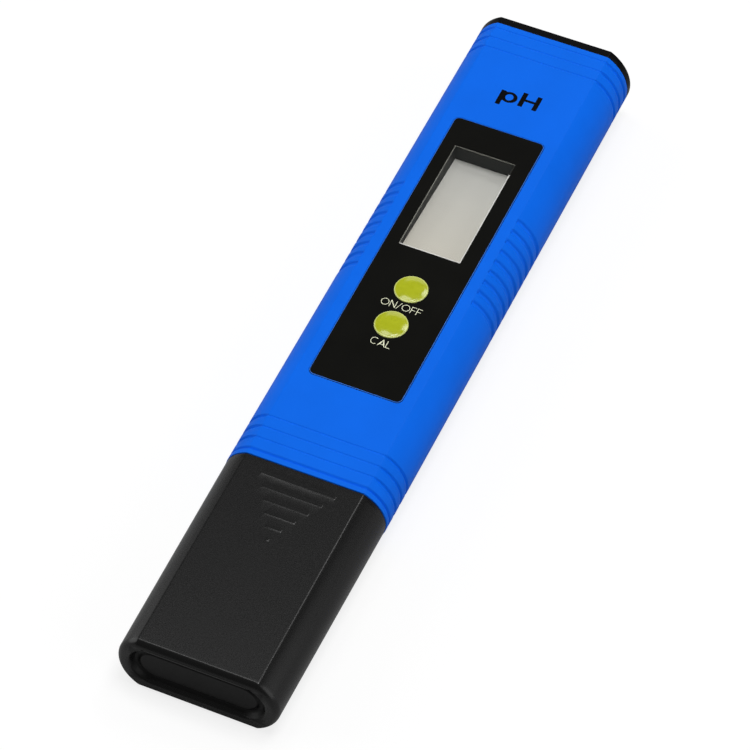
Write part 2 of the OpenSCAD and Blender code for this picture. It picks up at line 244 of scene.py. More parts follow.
def half_outline(y, inset, fillet, stop_z=None):
    """Points and normals (x, z) from the front's middle round the right side.

    They end at height stop_z, or at the back's middle where none is given."""
    h = thickness(y) / 2
    rise = half_width(y) - FLAT_HALF
    radius = (h * h + rise * rise) / (2 * rise)
    cx = half_width(y) - radius
    r = radius - inset
    reach = h - inset - fillet
    fx = cx + math.sqrt((r - fillet) ** 2 - reach ** 2)
    beta = math.atan2(reach, fx - cx)
    stop = -beta if stop_z is None else math.asin((stop_z - h) / r)
    points = [(fx * i / FLAT_STEPS, h + reach + fillet) for i in range(FLAT_STEPS + 1)]
    normals = [(0.0, 1.0)] * (FLAT_STEPS + 1)

    def arc(x0, z0, size, angles):
        for a in angles:
            points.append((x0 + size * math.cos(a), z0 + size * math.sin(a)))
            normals.append((math.cos(a), math.sin(a)))

    arc(fx, h + reach, fillet, np.linspace(math.pi / 2, beta, FILLET_STEPS + 1)[1:])
    fine = beta - FINE_L / r
    arc(cx, h, r, np.linspace(beta, fine, FINE_STEPS + 1)[1:])
    arc(cx, h, r, np.linspace(fine, stop, COARSE_STEPS + 1)[1:])
    if stop_z is None:
        arc(fx, h - reach, fillet, np.linspace(-beta, -math.pi / 2, FILLET_STEPS + 1)[1:])
        for i in range(1, FLAT_STEPS + 1):
            points.append((fx * (1 - i / FLAT_STEPS), h - reach - fillet))
            normals.append((0.0, -1.0))
    return np.array(points), np.array(normals)


def arch(y, inset, fillet, stop_z):
    """An open path over the front, from the left seam to the right seam."""
    halves = half_outline(y, inset, fillet, stop_z)
    return [np.concatenate([half[:0:-1] * MIRROR, half]) for half in halves]


def trough(y, inset, fillet, stop_z):
    """An open path under the back, from the left seam to the right seam."""
    t = thickness(y)
    points, normals = arch(y, inset, fillet, t - stop_z)
    points[:, 1] = t - points[:, 1]
    return points, normals * np.array([1.0, -1.0])


def outline(y, inset, fillet=FILLET):
    """The whole closed section: its points and its normals."""
    halves = half_outline(y, inset, fillet)
    return [np.concatenate([half[:-1], half[:0:-1] * MIRROR]) for half in halves]


def at_y(points, y):
    """Section points (x, z) as 3-D points at y."""
    return np.column_stack([points[:, 0], np.full(len(points), float(y)), points[:, 1]])


def section(y, inset, fillet=FILLET):
    """The closed section at y as 3-D points, set in from the case's surface."""
    return at_y(outline(y, inset, fillet)[0], y)


# ---- case: grooves, front and back

SIDE_EDGE = 0.4
SIDE_FADE = 1.6
EDGE_ROUND = 0.14
CLOSEST = 0.025

# A pair holds a groove's measure across the front, and what it gains towards the sides
RING_DEPTH = (0.11, 0.19)
RING_GENTLE = (0.35, 0.45)
RING_STEEP = (0.17, 0.13)
RING_PITCH = 2.5
RING_YS = ([CASE_END_Y - 1.3 - i * RING_PITCH for i in range(3)]
           + [JOINT_Y + 3.9 + i * RING_PITCH for i in range(3)])
LIP_DEPTH = (0.32, 0.12)
LIP_GENTLE = 0.55
LIP_STEEP = 0.2
LIP_GROOVE_Y = JOINT_Y + 1.15
GRIP_YS = [12 + i * 2.56 for i in range(9)]
GRIP_HALF = 0.72
GRIP_WALL = 0.5
GRIP_DEPTH = 0.35
GRIP_START = 0.04
GRIP_FADE = 0.34
GRIP_FOOT = 0.7


def notch(t, gentle, steep):
    """A groove that sinks gently to a depth of 1 at 0, and ends there at a steep wall."""
    return np.where(t < 0, smoothstep(1 + t / gentle), 1 - np.clip(t / steep, 0, 1))


def case_depth(y, points):
    """How far the case surface is sunk at each point of the section at y."""
    side = smoothstep((np.abs(points[:, 0]) - FLAT_HALF + SIDE_EDGE) / SIDE_FADE)
    ring_depth, gentle, steep, lip_depth = (
        front + gain * side for front, gain in (RING_DEPTH, RING_GENTLE, RING_STEEP, LIP_DEPTH))
    depth = lip_depth * notch(LIP_GROOVE_Y - y, LIP_GENTLE, LIP_STEEP)
    for ring_y in RING_YS:
        depth = np.maximum(depth, ring_depth * notch(y - ring_y, gentle, steep))
    grip_mask = (smoothstep((np.abs(points[:, 0]) - FLAT_HALF + GRIP_START) / GRIP_FADE)
                 * smoothstep((points[:, 1] - SEAM_Z - GRIP_FOOT) / GRIP_FOOT))
    for grip_y in GRIP_YS:
        grip = smoothstep((GRIP_HALF - abs(y - grip_y)) / GRIP_WALL)
        depth = np.maximum(depth, GRIP_DEPTH * grip_mask * grip)
    end = min(y - JOINT_Y, CASE_END_Y - y)
    return depth + EDGE_ROUND * (1 - math.sqrt(1 - (1 - min(end / EDGE_ROUND, 1.0)) ** 2))


def case_stations():
    """Where the case's sections stand, closest at its grooves and edges."""
    ys = {JOINT_Y, CASE_END_Y}
    for t in (0.03, 0.08, 0.15, 0.3):
        ys.update((JOINT_Y + t, CASE_END_Y - t))
    for ring_y in RING_YS:
        ys.update(ring_y + t for t in np.linspace(-0.84, 0.0, 13))
        ys.update(ring_y + t for t in (0.05, 0.1, 0.15, 0.2, 0.25, 0.3, 0.4))
    ys.update(LIP_GROOVE_Y + t for t in (-0.3, -0.2, -0.13, -0.06, *np.linspace(0.0, 0.6, 9)))
    grip_steps = (0.0, 0.2, 0.3, 0.36, 0.42, 0.48, 0.54, 0.6, 0.66, 0.72, 1.0)
    for grip_y in GRIP_YS:
        for side in (-1, 1):
            ys.update(grip_y + side * t for t in grip_steps)
    ys.update(np.arange(JOINT_Y + 9, CASE_END_Y - 6, 4.0))
    kept = []
    for y in sorted(ys):
        if JOINT_Y <= y <= CASE_END_Y and (not kept or y - kept[-1] > CLOSEST):
            kept.append(float(y))
    kept[-1] = CASE_END_Y
    return kept


def half_case(name, path):
    """One half of the case: a grooved outer skin and a plain inner skin."""
    stations = case_stations()
    outer = []
    for y in stations:
        points, normals = path(y, 0.0, FILLET, SEAM_Z)
        sunk = case_depth(y, points)
        # a hairline chamfer along the seam, at the path's two ends
        sunk[[0, -1]] += EDGE_ROUND
        outer.append(at_y(points - normals * sunk[:, None], y))
    ends = (stations[0], stations[-1])
    inner = [at_y(path(y, WALL, INNER_FILLET, SEAM_Z)[0], y) for y in ends]
    count, rows = len(outer[0]), len(outer)
    first_inner = rows * count
    faces = grid(rows, count) + grid(2, count, offset=first_inner)
    for row, inside in ((0, first_inner), ((rows - 1) * count, first_inner + count)):
        faces += [(row + c, row + c + 1, inside + c + 1, inside + c) for c in range(count - 1)]
    for c in (0, count - 1):
        edge = [r * count + c for r in range(rows)]
        faces.append(tuple(edge + [first_inner + count + c, first_inner + c]))
    return new_object(name, np.concatenate(outer + inner), faces)


def rounded_rect(size, radius, grow=0.0, steps=8):
    """Points of a rounded rectangle about the origin, grown outwards by grow."""
    w, l = size[0] / 2 + grow, size[1] / 2 + grow
    r = max(radius + grow, 0.02)
    points = []
    for quarter, (sx, sy) in enumerate(((1, 1), (-1, 1), (-1, -1), (1, -1))):
        for i in range(steps + 1):
            a = math.pi / 2 * (quarter + i / steps)
            points.append((sx * (w - r) + r * math.cos(a), sy * (l - r) + r * math.sin(a)))
    return np.array(points)


def circle(radius):
    """Points of a circle about the origin, turned so that none lies on an axis."""
    steps = 60
    angles = (np.arange(steps) + 0.37) * 2 * math.pi / steps
    return np.column_stack([radius * np.cos(angles), radius * np.sin(angles)])


def front_prism(name, centre, profile):
    """A solid on the front face, from a list of (outline, depth) loops."""
    loops = [np.column_stack([points + np.array(centre), np.full(len(points), z)])
             for points, z in profile]
    return loops_object(name, loops, FRONT)


def chamfered_hole(name, centre, make, low, chamfer, top=0.0):
    """A cutter from low up to top, whose mouth opens at 45 degrees. make(grow) gives its outline."""
    clear = 0.2
    profile = [(make(0.0), low), (make(0.0), top - chamfer), (make(chamfer), top),
               (make(chamfer + clear), top + clear)]
    return front_prism(name, centre, profile)


def rect_hole(name, centre, size, radius, low, chamfer, top=0.0):
    return chamfered_hole(name, centre, lambda grow: rounded_rect(size, radius, grow),
                          low, chamfer, top)


def button_holes(low, chamfer, top):
    return [chamfered_hole("button_hole", at, lambda grow: circle(BUTTON_R + BUTTON_GAP + grow),
                           low, chamfer, top) for at in (POWER_AT, CAL_AT)]


def front_housing(material):
    """The front shell, with the panel's pocket and the holes through it."""
    body = half_case("front_shell", arch)
    below, chamfer = -3, 0.05
    pocket = rect_hole("pocket", PANEL_MID, PANEL_SIZE + 0.1, PANEL_R, -PANEL_T, 0.13)
    window = rect_hole("window_hole", PANE_MID, PANE_SIZE + 1.5, 0.3, below, chamfer, -PANEL_T)
    combine(body, [pocket])
    combine(body, [window] + button_holes(below, chamfer, -PANEL_T))
    return finish_piece(body, "meter_body", material, ["front_housing"])


def back_cover(material):
    shell = half_case("back_shell", trough)
    return finish_piece(shell, "meter_body", material, ["back_cover"])


# ---- panel, window and lettering

PANEL_TOP = 0.04


def front_panel(material, edge_blue_and_highlight):
    """A clear plate printed black behind, so that only its outer edge lets light through. Its outer
    bevel is painted a paler, greyer blue: partly the shell's blue seen through, partly a painted
    highlight.
    """
    below, chamfer, bevel = -2, 0.06, 0.07
    plate = rounded_rect(PANEL_SIZE, PANEL_R)
    crown = rounded_rect(PANEL_SIZE, PANEL_R, -0.1)
    panel = front_prism("black_panel", PANEL_MID, [
        (plate, -PANEL_T), (plate, PANEL_TOP - bevel), (crown, PANEL_TOP)])
    window = rect_hole("pane_hole", PANE_MID, PANE_SIZE, PANE_R, below, chamfer, PANEL_TOP)
    combine(panel, [window] + button_holes(below, chamfer, PANEL_TOP))
    finish_piece(panel, "meter_body", material, ["front_panel"])
    panel.data.materials.append(edge_blue_and_highlight)
    inner = PANEL_SIZE / 2 - PANEL_R
    # the outer bevel takes the second material: the shell's blue seen through, with a painted
    # highlight
    for face in panel.data.polygons:
        centre = np.array(face.center)[:2] / MM
        outer = (np.abs(centre - PANEL_MID) > inner).any()
        if outer and 0.05 < abs(face.normal.z) < 0.98:
            face.material_index = 1
    return panel


def display_window(clear, painted_faint_edge, painted_bright_edge):
    """The clear pane in the panel's opening. Its moulded rim carries painted highlights: a bright
    copy on the faces turned more towards +x than +y, and a faint copy on the others.
    """
    top, rim, gap = -0.02, 0.19, -0.01
    side = rounded_rect(PANE_SIZE, PANE_R, gap)
    crown = rounded_rect(PANE_SIZE, PANE_R, gap - rim)
    pane = front_prism("clear_pane", PANE_MID, [(side, -PANEL_T), (side, top - 0.1), (crown, top)])
    finish_piece(pane, "meter_body", clear, ["display_window"], angle=15,
                 weighted=False)
    pane.data.materials.append(painted_faint_edge)
    pane.data.materials.append(painted_bright_edge)
    front_normal = Vector((0, -math.sin(TILT), math.cos(TILT)))
    # side faces turned more towards +x than +y take the bright painted highlight, the others the
    # faint one
    for face in pane.data.polygons:
        if abs(face.normal.dot(front_normal)) < 0.97:
            face.material_index = 2 if face.normal.x > face.normal.y else 1
    return pane


def ring_band(cx, cy, rx, ry, stroke, start=0.0, end=360.0):
    """A curved stroke: an elliptical band between two angles, as one or two outlines."""
    angles = np.radians(np.linspace(start, end, 41))
    outer = [(cx + rx * math.cos(a), cy + ry * math.sin(a)) for a in angles]
    inner = [(cx + (rx - stroke) * math.cos(a), cy + (ry - stroke) * math.sin(a)) for a in angles]
    if abs(end - start) >= 360:
        return [outer[:-1], inner[:-1]]
    return [outer + inner[::-1]]


def glyph(letter, w, h, s):
    """Outlines of a plain letter, w wide and h high with stroke s, from its lower left corner."""
    if letter == "O":
        return ring_band(w / 2, h / 2, w / 2, h / 2, s)
    if letter == "C":
        return ring_band(w / 2, h / 2, w / 2, h / 2, s, 48, 312)
    if letter == "N":
        return [[(0, 0), (s, 0), (s, h - 1.9 * s), (w - s, 0), (w, 0), (w, h), (w - s, h),
                 (w - s, 1.9 * s), (s, h), (0, h)]]
    if letter == "F":
        mid, arm = h * 0.45, w * 0.88
        return [[(0, 0), (s, 0), (s, mid), (arm, mid), (arm, mid + s), (s, mid + s), (s, h - s),
                 (w, h - s), (w, h), (0, h)]]
    if letter == "L":
        return [[(0, 0), (w, 0), (w, s), (s, s), (s, h), (0, h)]]
    if letter == "A":
        lean, bar = s * 1.1, h * 0.25
        return [[(0, 0), (lean, 0), (w * 0.27, bar), (w * 0.73, bar), (w - lean, 0), (w, 0),
                 (w / 2 + lean / 2, h), (w / 2 - lean / 2, h)],
                [(w * 0.33, bar + s), (w * 0.67, bar + s), (w / 2, h - 1.5 * s)]]
    if letter == "/":
        return [[(0, -h * 0.02), (s, -h * 0.02), (w, h * 1.02), (w - s, h * 1.02)]]
    if letter == "H":
        bar = s * 0.62
        low, high = (h - bar) / 2, (h + bar) / 2
        return [[(0, 0), (s, 0), (s, low), (w - s, low), (w - s, 0), (w, 0), (w, h), (w - s, h),
                 (w - s, high), (s, high), (s, h), (0, h)]]
    if letter == "p":
        drop = -h * 0.3
        x_h = h * 0.74
        cy = x_h / 2
        rx, ry = (w - 0.5 * s) / 2, cy * 1.03
        bowl = [(w - rx + rx * math.cos(a), cy + ry * math.sin(a))
                for a in np.radians(np.linspace(-125, 125, 31))]
        hole = [(w - rx + (rx - 0.85 * s) * math.cos(a), cy + (ry - 0.6 * s) * math.sin(a))
                for a in np.radians(np.arange(0, 360, 15))]
        return [[(0, drop), (s, drop), (s, 0.1)] + bowl + [(s, x_h - 0.1), (s, x_h), (0, x_h)], hole]
    raise ValueError(letter)


def lettering(name, text, widths, height, stroke, gap, centre, low, high, material):
    """Flat raised print on the front face. Each letter is drawn from its own outlines."""
    total = sum(widths) + gap * (len(text) - 1)
    curve = bpy.data.curves.new(name, "CURVE")
    curve.dimensions = "2D"
    curve.fill_mode = "BOTH"
    curve.extrude = (high - low) / 2
    x = centre[0] - total / 2
    for letter, width in zip(text, widths):
        for points in glyph(letter, width, height, stroke):
            spline = curve.splines.new("POLY")
            spline.points.add(len(points) - 1)
            spline.use_cyclic_u = True
            for target, (px, py) in zip(spline.points, points):
                target.co = (x + px, centre[1] - height / 2 + py, 0, 1)
        x += width + gap
    source = add_object(name + "_curve", curve)
    mesh = evaluated_mesh(source)
    bpy.data.objects.remove(source)
    mesh.transform(Matrix.Scale(MM, 4) @ FRONT @ Matrix.Translation((0, 0, (low + high) / 2)))
    mesh.materials.clear()
    return finish_piece(add_object(name, mesh), "meter_body", material, weighted=False)


# ---- buttons


def lathe(name, profile, steps, matrix):
    """A solid of revolution about Z from (radius, z) points; the ends lie on the axis."""
    inner = profile[1:-1]
    angles = np.arange(steps) * 2 * math.pi / steps
    verts = [(0, 0, profile[0][1])]
    for r, z in inner:
        verts += [(r * math.cos(a), r * math.sin(a), z) for a in angles]
    verts.append((0, 0, profile[-1][1]))
    faces = grid(len(inner), steps, close=True, offset=1)
    last = 1 + (len(inner) - 1) * steps
    for c in range(steps):
        d = (c + 1) % steps
        faces += [(0, 1 + d, 1 + c), (last + c, last + d, len(verts) - 1)]
    return new_object(name, verts, faces, matrix)


def button(name, node, at, body, material):
    """A domed button with a soft rim, and the flange that keeps it in."""
    flange_r, low, high, edge = BUTTON_R + 0.75, -2.25, -1.65, 0.1
    proud, dome, rim = 0.12, 0.3, 0.16
    profile = [(0, low), (flange_r - edge, low), (flange_r, low + edge), (flange_r, high - edge),
               (flange_r - edge, high), (BUTTON_R, high), (BUTTON_R, proud - rim)]
    crown_r = BUTTON_R - rim
    profile += [(crown_r + rim * math.cos(a), proud - rim + rim * math.sin(a))
                for a in np.radians((20, 40, 60, 80))]
    profile += [(crown_r * t, proud + (dome - 0.02) * (1 - t ** 3.5))
                for t in (1 - i / 12 for i in range(13))]
    obj = lathe(name, profile, 72, FRONT @ Matrix.Translation((*at, 0)))
    return finish_piece(obj, body, material, [node], angle=50, weighted=False)


# ---- probe cap and sponge

RECESS_SIZE = (23.4, 7.4)
RECESS_LIP = 0.95
MOAT_DEPTH = 1.25
# The face inside the recess stands above the channel round it: (set in, depth) of its loops
ISLAND = ((-0.45, MOAT_DEPTH), (-0.65, MOAT_DEPTH - 0.08), (-0.95, 0.9), (-1.02, 0.82),
          (-1.14, 0.78))
LOW_EDGE_SHARE = 0.45
CAP_FILLET = 0.8
CAP_FLOOR_Y = CAP_LOW[1] + 3.1
CAP_END_Y = CAP_LOW[1]
END_L = 0.9
END_ANGLE = math.radians(24)
END_R = END_L / (1 - math.sin(END_ANGLE))
CREASE_R = 0.7
CREASE_SUNK = CREASE_R * (1 - math.cos(END_ANGLE))
AXIS_Z = (CAP_LOW[2] + CAP_HIGH[2]) / 2
RIB_PITCH = 2.5
RIB_WIDTHS = [max(14.2 - 2.74 * i, 0.9) for i in range(6)]


def stadium(like, size, grow, z):
    """A stadium in section coordinates, with one point for each of the outline given."""
    w, h = size[0] / 2 + grow, size[1] / 2 + grow
    straight = w - h
    points = []
    for x, pz in like:
        dz = pz - z
        if abs(x) <= FLAT_HALF:
            points.append((x / FLAT_HALF * straight, z + math.copysign(h, dz)))
        else:
            a = math.atan2(dz, (abs(x) - FLAT_HALF) * 1.45)
            points.append((math.copysign(straight + h * math.cos(a), x), z + h * math.sin(a)))
    return np.array(points)


def cap_rib(width, y):
    """A low wedge across the cap: it rises gently from the case side and ends at a soft step."""
    base, low, top = -CAP_STEP - 0.3, -CAP_STEP - 0.01, -CAP_STEP + 0.06
    foot = rounded_rect((width, 1.0), 0.3)
    shoulder = rounded_rect((width - 0.25, 0.72), 0.2) - [0, 0.06]
    ridge = rounded_rect((width - 0.5, 0.16), 0.07) - [0, 0.27]
    return front_prism("rib", (0, y), [(foot, base), (foot, low), (shoulder, (low + top) / 2),
                                       (ridge, top)])


def cap_wall():
    """Loops of the cap's inner floor, inner wall, rim and outer wall."""
    rim_y, inner = CAP_HIGH[1], CAP_STEP + WALL
    loops = [section(y, inset, INNER_FILLET) for y, inset in (
        (CAP_FLOOR_Y, inner + 0.8), (CAP_FLOOR_Y + 0.2, inner + 0.25), (CAP_FLOOR_Y + 0.8, inner),
        (rim_y - 0.3, inner), (rim_y, inner - 0.2))]
    loops += [section(rim_y, CAP_STEP + 0.1), section(rim_y - 0.04, CAP_STEP + 0.03),
              section(rim_y - 0.12, CAP_STEP, CAP_FILLET)]
    ys = np.linspace(rim_y - 1, CAP_END_Y + 1.6, 14)
    return loops + [section(y, CAP_STEP, CAP_FILLET) for y in ys]


def cap_end_outline(y, inset, fillet):
    """The cap's outline near its end, where the lower edge is rounded less than the upper one."""
    points = outline(y, inset, fillet)[0]
    top = thickness(y) - inset
    low = CAP_STEP + (inset - CAP_STEP) * LOW_EDGE_SHARE
    points[:, 1] = top - (top - points[:, 1]) * (top - low) / (top - inset)
    points[:, 0] *= 1 + (inset - CAP_STEP) * (1 - LOW_EDGE_SHARE) * 0.5 / half_width(y)
    return points


def cap_end():
    """Loops over a soft crease and then over the rounded end."""
    loops = []
    for a in np.linspace(0, END_ANGLE, 5)[:-1]:
        y = CAP_END_Y + END_L + CREASE_R * (math.sin(END_ANGLE) - math.sin(a))
        loops.append(section(y, CAP_STEP + CREASE_R * (1 - math.cos(a)), CAP_FILLET))
    for a in np.linspace(END_ANGLE, math.pi / 2, 10):
        sunk = CREASE_SUNK + END_R * (math.cos(END_ANGLE) - math.cos(a))
        y = CAP_END_Y + END_R * (1 - math.sin(a))
        fillet = max(CAP_FILLET - sunk * 0.5, 0.2)
        loops.append(at_y(cap_end_outline(y, CAP_STEP + sunk, fillet), y))
    return loops


def cap_recess():
    """Loops from the end face into the channel, and up to the face inside it."""
    edge_inset = CAP_STEP + CREASE_SUNK + END_R * math.cos(END_ANGLE)
    edge = cap_end_outline(CAP_END_Y, edge_inset, 0.2)

    def ring(grow, depth):
        return at_y(stadium(edge, RECESS_SIZE, grow, AXIS_Z), CAP_END_Y + depth)

    mouth = stadium(edge, RECESS_SIZE, RECESS_LIP, AXIS_Z)
    loops = [at_y(edge * 0.5 + mouth * 0.5, CAP_END_Y)]
    loops += [ring(RECESS_LIP * (1 - t), MOAT_DEPTH * smoothstep(t)) for t in np.linspace(0, 1, 8)]
    return loops + [ring(grow, depth) for grow, depth in ISLAND]


def probe_cap(material, recess_material):
    """The cap with its raised bars, and with its own finish in the recess."""
    cap = loops_object("probe_cover", cap_wall() + cap_end() + cap_recess())
    ribs = [cap_rib(width, JOINT_Y - 2.7 - RIB_PITCH * i) for i, width in enumerate(RIB_WIDTHS)]
    combine(cap, ribs, "UNION")
    finish_piece(cap, "probe_cap", material, ["probe_cap"])
    cap.data.materials.append(recess_material)
    reach_x, reach_z = (side / 2 + RECESS_LIP * 0.45 for side in RECESS_SIZE)
    reach_y = CAP_END_Y + MOAT_DEPTH + 0.05
    for face in cap.data.polygons:
        x, y, z = (c / MM for c in face.center)
        if abs(x) < reach_x and abs(z - AXIS_Z) < reach_z and y < reach_y:
            face.material_index = 1
    return cap


def storage_sponge(material):
    """The damp foam block in the cap's end, with open pores on its face."""
    size = (SPONGE_HIGH - SPONGE_LOW)[[0, 2]]
    mid = (SPONGE_LOW + SPONGE_HIGH) / 2
    depth = SPONGE_HIGH[1] - SPONGE_LOW[1]
    pore_mm = 0.55
    edge = stadium(outline(mid[1], 1.0)[0], size, 0.0, mid[2]) - [0, mid[2]]
    loops = []

    def ring(share, y):
        loops.append(at_y(edge * share + [0, mid[2]], y))

    for share in (0.1, 0.35, 0.6, 0.85, 0.97):
        ring(share, SPONGE_LOW[1] + 0.03)
    for t in np.linspace(0.08, 0.92, 10):
        ring(0.985 - 0.03 * math.sin(math.pi * t), SPONGE_LOW[1] + depth * t)
    for share in (0.95, 0.85, 0.72, 0.6, 0.48, 0.36, 0.24, 0.12):
        ring(share, SPONGE_HIGH[1] - 0.35 * share ** 6 - 0.05)
    sponge = loops_object("foam_insert", loops)
    modifier = sponge.modifiers.new("fine", "SUBSURF")
    modifier.levels = 2
    apply_modifiers(sponge)
    for vertex in sponge.data.vertices:
        pore = noise.voronoi(vertex.co / (pore_mm * MM))[0][0]
        push = max(0.0, 0.42 - pore) * pore_mm * MM
        inward = Vector((0, SPONGE_LOW[1] * MM + 0.0005, mid[2] * MM)) - vertex.co
        inward.x *= 0.4
        vertex.co += inward.normalized() * push
    finish_piece(sponge, "probe_cap", material, ["storage_sponge"], angle=180,
                 weighted=False)
    return sponge


# ---- battery cap


def block_loops(low, high):
    """Loops of a box along the pen, with rounded long edges and a rounded inner end."""
    size = (high[0] - low[0], high[2] - low[2])
    mid = np.array([low[0] + high[0], low[2] + high[2]]) / 2
    return [at_y(rounded_rect(size, 0.25, grow, 4) + mid, y)
            for y, grow in ((low[1], -0.2), (low[1] + 0.08, -0.06), (low[1] + 0.2, 0.0),
                            (high[1], 0.0))]


def battery_cap(material):
    """The end plate and the two tongues that hold it in the case."""
    start, end, end_r = CASE_END_Y, LID_HIGH[1], 0.18
    loops = [section(start, 0.12), section(start + 0.04, 0.04), section(start + 0.12, 0.0)]
    for a in np.radians(np.linspace(0, 90, 6)):
        loops.append(section(end - end_r * (1 - math.sin(a)), end_r * (1 - math.cos(a))))
    cap = loops_object("battery_cover", loops)
    tongue_x, tongue_l, tongue_t = 9.5, 4.4, 1.1
    low_z, high_z = WALL + 0.3, LID_HIGH[2] - WALL - 0.5
    tongues = [loops_object("tongue", block_loops((-tongue_x, start - tongue_l, z - tongue_t / 2),
                                                  (tongue_x, start + 0.4, z + tongue_t / 2)))
               for z in (low_z + tongue_t / 2, high_z - tongue_t / 2)]
    combine(cap, tongues, "UNION")
    return finish_piece(cap, "battery_cap", material, ["battery_cap"])


# ---- electrode

NECK_INSET = CAP_STEP + WALL + 0.35
NECK_END_Y = JOINT_Y - 18
NECK_END_R = 1.2
NECK_FILLET = 0.4
PROBE_Z = (GLASS_LOW[2] + GLASS_HIGH[2]) / 2
GUARD_R = 4.1
GUARD_WALL = 0.7
TUBE_R = 2.7


def along_pen(x, y):
    """Stands a lathe's axis along the pen, at x and y and at the electrode's height."""
    return Matrix.Translation((x, y, PROBE_Z)) @ Matrix.Rotation(-math.pi / 2, 4, "X")


def tube_y(name, profile):
    """A closed ring section of (radius, y) points turned about the electrode's axis."""
    steps = 64
    angles = np.arange(steps) * 2 * math.pi / steps
    loops = [np.column_stack([r * np.cos(angles), np.full(steps, y), PROBE_Z + r * np.sin(angles)])
             for r, y in profile]
    return loops_object(name, loops, ring=True)


def bulb_guard():
    """The tube round the bulb, with slots through it from all four sides."""
    end, bore = NECK_LOW[1], GUARD_R - GUARD_WALL
    guard = tube_y("guard", [
        (bore, NECK_END_Y + 0.6), (GUARD_R + 0.5, NECK_END_Y + 0.6),
        (GUARD_R + 0.45, NECK_END_Y - 0.1), (GUARD_R + 0.12, NECK_END_Y - 0.4),
        (GUARD_R, NECK_END_Y - 0.9), (GUARD_R, end + 0.3), (GUARD_R - 0.09, end + 0.09),
        (GUARD_R - 0.3, end), (bore + 0.12, end), (bore, end + 0.15)])
    slot_low, slot_high = end + 1.6, NECK_END_Y - 1.6
    points = rounded_rect((4.0, slot_high - slot_low), 1.9, 0, 10)
    loops = [np.column_stack([points, np.full(len(points), z)]) for z in (-9, 9)]
    middle = Matrix.Translation((0, (slot_low + slot_high) / 2, PROBE_Z))
    combine(guard, [loops_object("slot", loops, middle @ Matrix.Rotation(turn, 4, "Y"))
                    for turn in (0, math.pi / 2)])
    return guard


def electrode_housing(material):
    """The oval neck that the cap seals on, its guard, and bores for the tube and the plug."""
    inside_y = NECK_HIGH[1]
    seal_mid = (SEAL_LOW[1] + SEAL_HIGH[1]) / 2
    loops = [section(y, inset, NECK_FILLET) for y, inset in (
        (inside_y, WALL + 0.45), (inside_y - 0.6, WALL + 0.06), (JOINT_Y + 0.02, WALL + 0.06),
        (JOINT_Y, NECK_INSET - 0.1), (JOINT_Y - 0.2, NECK_INSET))]
    loops += [section(seal_mid + offset, NECK_INSET + sunk, INNER_FILLET) for offset, sunk in (
        (0.82, 0), (0.78, 0.55), (0.6, 0.78), (-0.6, 0.78), (-0.78, 0.55), (-0.82, 0))]
    loops.append(section(seal_mid - 3, NECK_INSET, NECK_FILLET))
    for a in np.radians(np.linspace(0, 85, 7)):
        loops.append(section(NECK_END_Y + NECK_END_R * (1 - math.sin(a)),
                             NECK_INSET + NECK_END_R * (1 - math.cos(a)), INNER_FILLET))
    housing = loops_object("probe_neck", loops)
    combine(housing, [bulb_guard()], "UNION")

    def bore(name, radius, length, steps, x):
        profile = [(0, 0), (radius, 0), (radius, length), (0, length)]
        return lathe(name, profile, steps, along_pen(x, NECK_END_Y - 0.5))

    combine(housing, [bore("bore", TUBE_R, 40, 48, 0), bore("plug_bore", 1.0, 6.5, 32, 7.5)])
    return finish_piece(housing, "meter_body", material, ["electrode_housing"])


def glass_electrode(material):
    """A thin glass tube that ends in a round bulb, hollow all the way."""
    wall, bulb_r = 0.6, 3.2
    start, low = GLASS_HIGH[1], GLASS_LOW[1]
    bulb_y = low + bulb_r
    meet = math.sqrt(bulb_r ** 2 - TUBE_R ** 2)
    profile = [(0.0, low)]
    top = math.pi / 2 + math.atan2(meet, TUBE_R)
    for a in np.linspace(0.12, top, 20):
        profile.append((bulb_r * math.sin(a), bulb_y - bulb_r * math.cos(a)))
    profile += [(TUBE_R, bulb_y + meet + 0.5), (TUBE_R, start - 0.1), (TUBE_R - 0.1, start),
                (TUBE_R - wall, start), (TUBE_R - wall, bulb_y + meet + 0.4)]
    thin = bulb_r - 0.45
    for a in np.linspace(top, 0.12, 20):
        profile.append((thin * math.sin(a), bulb_y - thin * math.cos(a)))
    profile.append((0.0, bulb_y - thin))
    obj = lathe("glass_bulb", profile, 56, along_pen(0, 0))
    return finish_piece(obj, "meter_body", material, ["glass_electrode"], angle=40,
                        weighted=False)


def cap_seal(material):
    """A soft ring with a rounded section that follows the neck's outline."""
    y = (SEAL_LOW[1] + SEAL_HIGH[1]) / 2
    points, normals = outline(y, NECK_INSET + 0.3, INNER_FILLET)
    half_t, half_l = 0.49, 0.72
    loops = []
    for a in np.linspace(0, 2 * math.pi, 16, endpoint=False):
        loops.append(at_y(points + normals * half_t * math.cos(a), y + half_l * math.sin(a)))
    ring = loops_object("neck_seal", loops, ring=True)
    return finish_piece(ring, "meter_body", material, ["cap_seal_ring"], angle=60,
                        weighted=False)


# ---- materials


def rgba(color):
    """A colour of three numbers as four; a socket stays as it is."""
    return (*color, 1) if isinstance(color, tuple) else color


